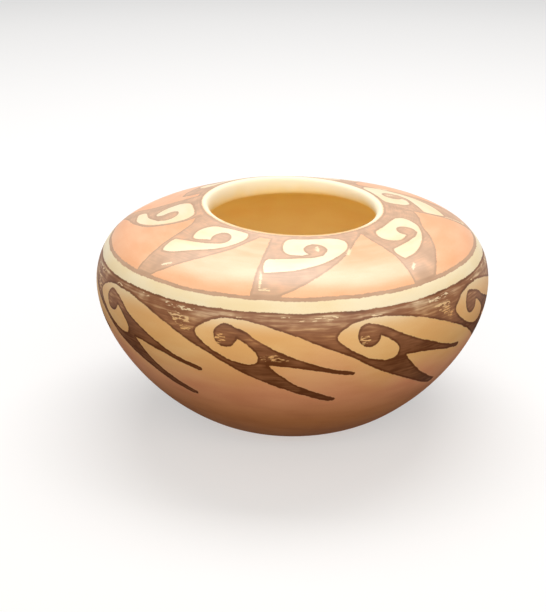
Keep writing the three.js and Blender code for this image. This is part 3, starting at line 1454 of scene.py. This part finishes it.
@dataclass(frozen=True)
class PaintedSlip:
    """The outside: slips under brown mineral paint, burnished to a satin shine.

    Each span says at which flow, in degrees, a change starts and ends, unless it says otherwise.
    """

    cream: Slip = Slip(paint_chip(248, 226, 178), paint_chip(252, 237, 201))
    honey: Slip = Slip(paint_chip(238, 182, 114), paint_chip(244, 196, 132))
    blush: Slip = Slip(paint_chip(226, 150, 108), paint_chip(236, 164, 120))
    # Darker towards the bottom: the clay's own fired colour, deepened with painted shade.
    foot: Slip = Slip(paint_chip(190, 116, 64), paint_chip(204, 130, 74))
    panel: Slip = Slip(paint_chip(245, 177, 126), paint_chip(250, 194, 150))
    scroll_paint: Slip = Slip(paint_chip(180, 122, 82), paint_chip(104, 58, 28))
    # Much paler than the scroll paint: partly thinner paint, partly a painted sheen of the glare on the
    # shoulder.
    feather_paint: Slip = Slip(paint_chip(216, 180, 150), paint_chip(186, 148, 120))
    rubbed_lip: Colour = PEACH_FRONT_LIP
    lip_at: Span = (-1.8, -2.4)
    panel_to_body_at: Span = (39.8, 40.2)
    honey_at: Span = (43.0, 51.0)
    blush_at: Span = (54.0, 72.0)
    foot_at: Span = (66.0, 90.0)
    firing_scale: float = 0.022
    firing_drift: float = 26.0
    worn_edge_mm: Span = (-0.5, 0.5)
    dense_at: Span = (45.0, 62.0)
    thin_density: float = 0.35
    added_density: float = 0.55
    feather_streaks: float = 0.4
    feather_wear: float = 1.5
    opaque_body: Span = (-0.3, 0.5)
    shine: float = 0.34
    polish_spread: float = 0.14
    paint_roughness: float = 0.10
    paint_height: float = 0.35
    bump_strength: float = 0.35
    bump_depth: float = 0.06 * MM
    coat_ior: float = 1.7
    gloss_at: Span = (40.0, 58.0)
    gloss: Span = (1.0, 0.12)
    paint_dulling: float = 0.4

    def build(self) -> bpy.types.Material:
        """Makes the material.

        Returns:
            The material.
        """
        material, sheet, shader = new_material("painted_slip")
        place, flow = sheet.attribute("place", "Vector"), sheet.attribute("flow")
        worn = sheet.smooth(sheet.attribute("worn_paint"), *self.worn_edge_mm)
        ground = self.ground(sheet, place, flow, worn)
        colour, cover = self.lay_paint(sheet, place, flow, worn, ground)
        polish = StonePolish().place(sheet, place=place, shine=self.shine, spread=self.polish_spread)
        height = cover * self.paint_height + polish["Height"]
        spans = zip(("From Min", "From Max", "To Min", "To Max"), (*self.gloss_at, *self.gloss))
        gloss = sheet.get("ShaderNodeMapRange", {"Value": flow} | dict(spans))
        look = {
            "Base Color": colour,
            "Specular IOR Level": 0.0,
            "Roughness": cover * self.paint_roughness + polish["Roughness"],
            "Coat Weight": gloss * (1.0 - cover * self.paint_dulling),
            "Coat Roughness": self.shine,
            "Coat IOR": self.coat_ior,
            "Normal": sheet.bump(height, self.bump_strength, self.bump_depth),
        }
        sheet.feed(shader, look)
        return material

    def ground(self, sheet: NodeSheet, place: Wire, flow: Wire, worn: Wire) -> Wire:
        """The slips under the paint: red panels, cream curls, and cream turning to honey, blush and the
        foot.

        Args:
            sheet: The material's sheet.
            place: The place on the wall, in millimetres.
            flow: The flow in degrees.
            worn: 1 inside the worn patches.

        Returns:
            The colour.
        """
        cream = self.cream.cloud(sheet, place)
        fired = (sheet.noise(place, self.firing_scale, 1.0) - 0.5) * self.firing_drift + flow
        body = sheet.mix(sheet.smooth(flow, *self.honey_at), cream, self.honey.cloud(sheet, place))
        body = sheet.mix(sheet.smooth(fired, *self.blush_at), body, self.blush.cloud(sheet, place))
        # The foot colour is partly fired clay and partly painted shade under the body.
        body = sheet.mix(sheet.smooth(flow, *self.foot_at), body, self.foot.cloud(sheet, place))
        curl = BrushEdge().place(sheet, distance=sheet.attribute("curl_slip"), place=place)["Cover"]
        bare = sheet.math("MAXIMUM", curl, worn)
        upper = sheet.mix(bare, self.panel.cloud(sheet, place), cream)
        whole = sheet.mix(sheet.smooth(flow, *self.panel_to_body_at), upper, body)
        # The lip's cream turns peach towards the front; the group's Worn output says how far.
        lip = sheet.mix(PeachFrontLip().place(sheet, place=place)["Worn"], cream, self.rubbed_lip)
        return sheet.mix(sheet.smooth(flow, *self.lip_at), whole, lip)

    def lay_paint(
        self, sheet: NodeSheet, place: Wire, flow: Wire, worn: Wire, ground: Wire
    ) -> tuple[Wire, Wire]:
        """Lays the brown paint over the slips.

        Args:
            sheet: The material's sheet.
            place: The place on the wall, in millimetres.
            flow: The flow in degrees.
            worn: 1 inside the worn patches.
            ground: The colour under the paint.

        Returns:
            The painted colour, and how much paint covers it.
        """
        density = sheet.smooth(flow, *self.dense_at) * self.added_density + self.thin_density
        scroll = {"density": density, "worn": worn}
        feather = {
            "density": self.thin_density,
            "streaks": self.feather_streaks,
            "worn": worn * self.feather_wear,
        }
        coats = (("feather_paint", self.feather_paint, feather), ("scroll_paint", self.scroll_paint, scroll))
        colour, covers = ground, []
        for name, hue, brushwork in coats:
            distance = sheet.attribute(name)
            inside = BrushEdge().place(sheet, distance=distance, place=place)["Cover"]
            coat = BrushedPaint().place(sheet, place=place, distance=distance, **brushwork)
            amount = inside * (1.0 - coat["Bare"]) * sheet.smooth(coat["Body"], *self.opaque_body)
            colour = sheet.mix(amount, colour, sheet.mix(coat["Body"], hue.thin, hue.thick))
            covers.append(amount)
        return colour, sheet.math("MAXIMUM", *covers)


@dataclass(frozen=True)
class BareClay:
    """Fired clay without slip, on the underside and in the joints."""

    name: str
    clay: Slip
    roughness: float = 0.8
    bump_strength: float = 0.6
    bump_depth: float = 0.15 * MM

    def colour(self, sheet: NodeSheet, place: Wire) -> Wire:
        """The colour at each place."""
        return self.clay.cloud(sheet, place)

    def build(self) -> bpy.types.Material:
        """Makes the material.

        Returns:
            The material.
        """
        material, sheet, shader = new_material(self.name)
        place = sheet.vector("MULTIPLY", sheet.get("ShaderNodeTexCoord", output="Object"), (1 / MM,) * 3)
        polish = StonePolish().place(sheet, place=place, shine=self.roughness)
        normal = sheet.bump(polish["Height"], self.bump_strength, self.bump_depth)
        colour = self.colour(sheet, place)
        sheet.feed(shader, {"Base Color": colour, "Roughness": polish["Roughness"], "Normal": normal})
        return material


@dataclass(frozen=True)
class InnerWash(BareClay):
    """The inside: ochre clay, wiped smooth, with the lip's cream slip fading over its edge.

    The ends are in millimetres inwards from the lip's top.
    """

    name: str = "inner_wash"
    clay: Slip = Slip(paint_chip(249, 226, 158), paint_chip(252, 236, 172))
    roughness: float = 0.62
    bump_strength: float = 0.4
    bump_depth: float = 0.1 * MM
    cream: Colour = paint_chip(254, 244, 214)
    rubbed_lip: Colour = PEACH_FRONT_LIP
    rubbed_ends: Span = (2.4, 1.0)
    slip_ends: Span = (2.2, 6.6)
    drip_scale: float = 0.12
    drip_length: float = -3.0

    def colour(self, sheet: NodeSheet, place: Wire) -> Wire:
        """The clay's colour, and the slip's where it comes over the lip.

        Args:
            sheet: The material's sheet.
            place: The place in millimetres.

        Returns:
            The colour.
        """
        inward = sheet.attribute("inward")
        # The lip's cream turns peach towards the front; the group's Worn output says how far.
        worn = PeachFrontLip().place(sheet, place=sheet.attribute("place", "Vector"))["Worn"]
        lip = sheet.mix(worn * sheet.smooth(inward, *self.rubbed_ends), self.cream, self.rubbed_lip)
        drip = (sheet.noise(place, self.drip_scale, 2.0) - 0.5) * self.drip_length
        bare = sheet.smooth(drip + inward, *self.slip_ends)
        return sheet.mix(bare, lip, super().colour(sheet, place))


@dataclass
class Jar:
    """The jar: base patty and coils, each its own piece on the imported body."""

    nodes: dict[str, bpy.types.Object]
    slots: dict[str, str]
    section: JarSection
    maker: WallMaker
    patty: str = "base_patty"
    body: str = "root"

    def piece_strips(self) -> dict[str, list[Strip]]:
        """Each piece's strips, by the name of the solid that it dresses.

        Returns:
            The strips, from the base up.
        """
        coils = [name for name in self.nodes if name != self.patty]
        coils.sort(key=lambda name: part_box(name)[1].z)
        top = self.section.patty_top()
        coil_height = (self.section.outside.length - top) / len(coils)
        strips = {self.patty: self.section.patty_strips(top)}
        for i, name in enumerate(coils):
            start = top + i * coil_height
            strips[name] = self.section.coil_strips(start, start + coil_height, name == coils[-1])
        return strips

    @staticmethod
    def section_mesh(name: str, strips: Sequence[Strip]) -> bpy.types.Mesh:
        """Makes a piece's section a mesh of open lines.

        Args:
            name: The mesh's name.
            strips: The piece's strips.

        Returns:
            The lines, with each point's radius, height, flow, way inward and side.
        """
        edges, first = [], 0
        for strip in strips:
            last = first + len(strip.points) - 1
            edges += [(i, i + 1) for i in range(first, last)]
            first = last + 1
        spots = [(point, strip.side) for strip in strips for point in strip.points]
        mesh = bpy.data.meshes.new(name)
        mesh.from_pydata([(point.radius, 0.0, point.height) for point, _ in spots], edges, [])
        stored = {"wall_radius": "radius", "wall_height": "height", "flow": "flow", "inward": "inward"}
        values = {new: [getattr(point, old) for point, _ in spots] for new, old in stored.items()}
        values["side"] = [float(side) for _, side in spots]
        for attribute, numbers in values.items():
            mesh.attributes.new(attribute, "FLOAT", "POINT").data.foreach_set("value", numbers)
        return mesh

    def build(self, finishes: dict[Side, bpy.types.Material]) -> list[bpy.types.Object]:
        """Makes every clay piece and dresses it.

        Args:
            finishes: The material of each side.

        Returns:
            The pieces, from the base up.
        """
        sheets = self.maker.painting.sheets()
        values = self.maker.numbers() | sheets | {side.finish: finish for side, finish in finishes.items()}
        tree = self.maker.wall_tree()
        pieces = []
        for node, strips in self.piece_strips().items():
            name = f"{node}_clay"
            piece = add_object(name, self.section_mesh(name, strips))
            apply_tree(piece, tree, values)
            face_outwards(piece.data)
            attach(piece, self.body)
            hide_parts(node)
            LOG.info("%s: %d faces", name, len(piece.data.polygons))
            pieces.append(piece)
        for sheet in sheets.values():
            bpy.data.objects.remove(sheet)
        return pieces


def face_outwards(mesh: bpy.types.Mesh) -> None:
    """Turns every face of a closed mesh outwards.

    Args:
        mesh: The mesh.
    """
    work = bmesh.new()
    work.from_mesh(mesh)
    bmesh.ops.recalc_face_normals(work, faces=work.faces)
    work.to_mesh(mesh)
    work.free()


@dataclass(frozen=True)
class SoftBox:
    """A studio lamp with a flat face, which it turns to a point of the jar."""

    name: str
    place: tuple[float, float, float]
    width: float
    height: float
    watts: float
    colour: tuple[float, float, float]
    aim: tuple[float, float, float] = (0.0, 0.0, 0.04)

    def build(self) -> None:
        """Hangs the lamp, out of the camera's sight."""
        data = bpy.data.lights.new(self.name, "AREA")
        data.shape = "RECTANGLE"
        data.size, data.size_y = self.width, self.height
        data.energy = self.watts
        data.color = self.colour
        lamp = add_object(self.name, data)
        lamp.location = self.place
        lamp.rotation_euler = (Vector(self.aim) - Vector(self.place)).to_track_quat("-Z", "Y").to_euler()
        lamp.visible_camera = False


@dataclass(frozen=True)
class Studio:
    """A pale floor that fades into the sky far off, soft lamps and the camera."""

    floor_reach: float = 3.0
    floor_drop: float = 0.05 * MM
    floor_roughness: float = 0.9
    fade_ends: Span = (0.75, 1.25)
    contact: float = 3 * MM
    floor_seen: float = 0.50
    floor_bounce: float = 0.12
    floor_glow: float = 0.45
    sky_seen: float = 0.62
    sky_level: float = 0.32
    camera_place: tuple[float, float, float] = (-0.0076, -0.5551, 0.2650)
    camera_tilt: float = math.radians(68.025)
    lens_mm: float = 98.9
    sensor_mm: float = 36.0
    bounces: int = 10
    lamps: tuple[SoftBox, ...] = (
        SoftBox("high_softbox", (0.05, 0.34, 0.78), 0.84, 0.44, 6.0, (1.0, 0.97, 0.96)),
        SoftBox("front_fill", (0.06, -1.12, 0.58), 3.6, 1.0, 20.0, (1.0, 0.93, 0.82)),
    )

    @staticmethod
    def seen_directly(sheet: NodeSheet) -> Wire:
        """Tells what the camera sees from the light on the jar.

        Args:
            sheet: The sheet of the floor or the sky.

        Returns:
            1 for what is seen straight, in a mirror or through glass, and 0 otherwise.
        """
        camera, glossy, clear = (
            sheet.get("ShaderNodeLightPath", output=f"Is {kind} Ray")
            for kind in ("Camera", "Glossy", "Transmission")
        )
        return sheet.math("MAXIMUM", sheet.math("MAXIMUM", camera, glossy), clear)

    def open_from_below(self, sheet: NodeSheet, shader: bpy.types.Node) -> None:
        """Makes the floor clear to a view from below, and to light on the clay that it touches.

        Args:
            sheet: The sheet of the floor's material.
            shader: Its shader.
        """
        touching = sheet.get("ShaderNodeLightPath", output="Ray Length") < self.contact
        below = sheet.get("ShaderNodeNewGeometry", output="Backfacing")
        solid, clear = Wire(sheet, shader.outputs[0]), sheet.get("ShaderNodeBsdfTransparent")
        wires = {0: sheet.math("MAXIMUM", below, touching), 1: solid, 2: clear}
        surface = sheet.get("ShaderNodeMixShader", wires)
        sheet.feed(sheet.tree.nodes["Material Output"], {"Surface": surface})

    def floor_material(self) -> bpy.types.Material:
        """Makes the floor's material, which fades into the sky with the distance from the jar.

        Returns:
            The material.
        """
        material, sheet, shader = new_material("studio_floor")
        seen = self.seen_directly(sheet)
        place = sheet.get("ShaderNodeTexCoord", output="Object")
        distance = sheet.get("ShaderNodeVectorMath", {0: place}, "Value", operation="LENGTH")
        far = sheet.smooth(distance, *self.fade_ends)
        near_colour = sheet.mix(seen, (self.floor_bounce,) * 3 + (1.0,), (self.floor_seen,) * 3 + (1.0,))
        glow = far * (self.sky_seen - self.floor_glow) + self.floor_glow
        look = {
            "Base Color": sheet.mix(far, near_colour, BLACK),
            "Roughness": self.floor_roughness,
            "Specular IOR Level": 0.0,
            "Emission Color": WHITE,
            "Emission Strength": seen * glow,
        }
        sheet.feed(shader, look)
        self.open_from_below(sheet, shader)
        return material

    def build_floor(self) -> None:
        """Lays the floor."""
        edge, level = self.floor_reach, -self.floor_drop
        mesh = bpy.data.meshes.new("studio_floor")
        square = [(x * edge, y * edge, level) for x, y in ((-1, -1), (1, -1), (1, 1), (-1, 1))]
        mesh.from_pydata(square, [], [(0, 1, 2, 3)])
        mesh.materials.append(self.floor_material())
        add_object("studio_floor", mesh)

    def build_sky(self) -> None:
        """Sets the even light that comes from all round."""
        world = bpy.data.worlds.new("studio_sky")
        world.use_nodes = True
        sheet = NodeSheet(world.node_tree)
        level = self.seen_directly(sheet) * (self.sky_seen - self.sky_level) + self.sky_level
        sheet.feed(world.node_tree.nodes["Background"], {"Color": WHITE, "Strength": level})
        bpy.context.scene.world = world

    def build_camera(self) -> None:
        """Sets up the camera at the photograph's viewing angle."""
        data = bpy.data.cameras.new("camera")
        data.sensor_fit = "HORIZONTAL"
        data.sensor_width = self.sensor_mm
        data.lens = self.lens_mm
        camera = add_object("camera", data)
        camera.location = self.camera_place
        camera.rotation_euler = (self.camera_tilt, 0.0, 0.0)
        bpy.context.scene.camera = camera

    def build(self) -> None:
        """Builds the whole studio."""
        self.build_floor()
        self.build_sky()
        self.build_camera()
        for lamp in self.lamps:
            lamp.build()
        bpy.context.scene.view_settings.view_transform = "Standard"
        bpy.context.scene.cycles.diffuse_bounces = self.bounces


def main() -> None:
    """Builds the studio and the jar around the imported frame."""
    logging.basicConfig(level=logging.INFO, format="%(message)s")
    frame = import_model()
    Studio().build()
    slots = {part["node"]: part["material_slot"] for part in frame["record"]["subparts"]}
    sizes = JarSizes.measure(frame["nodes"])
    underside = Slip(paint_chip(176, 118, 78), paint_chip(206, 150, 104))
    joints = Slip(paint_chip(160, 106, 70), paint_chip(184, 128, 88))
    finishes = {
        Side.OUTSIDE: PaintedSlip().build(),
        Side.INSIDE: InnerWash().build(),
        Side.UNDERSIDE: BareClay("underside_clay", underside).build(),
        Side.JOINT: BareClay("joint_clay", joints).build(),
    }
    maker = WallMaker(Painting(), sizes.belly_radius)
    pieces = Jar(frame["nodes"], slots, JarSection(sizes), maker).build(finishes)
    LOG.info("%d clay pieces", len(pieces))


if __name__ == "__main__":
    main()
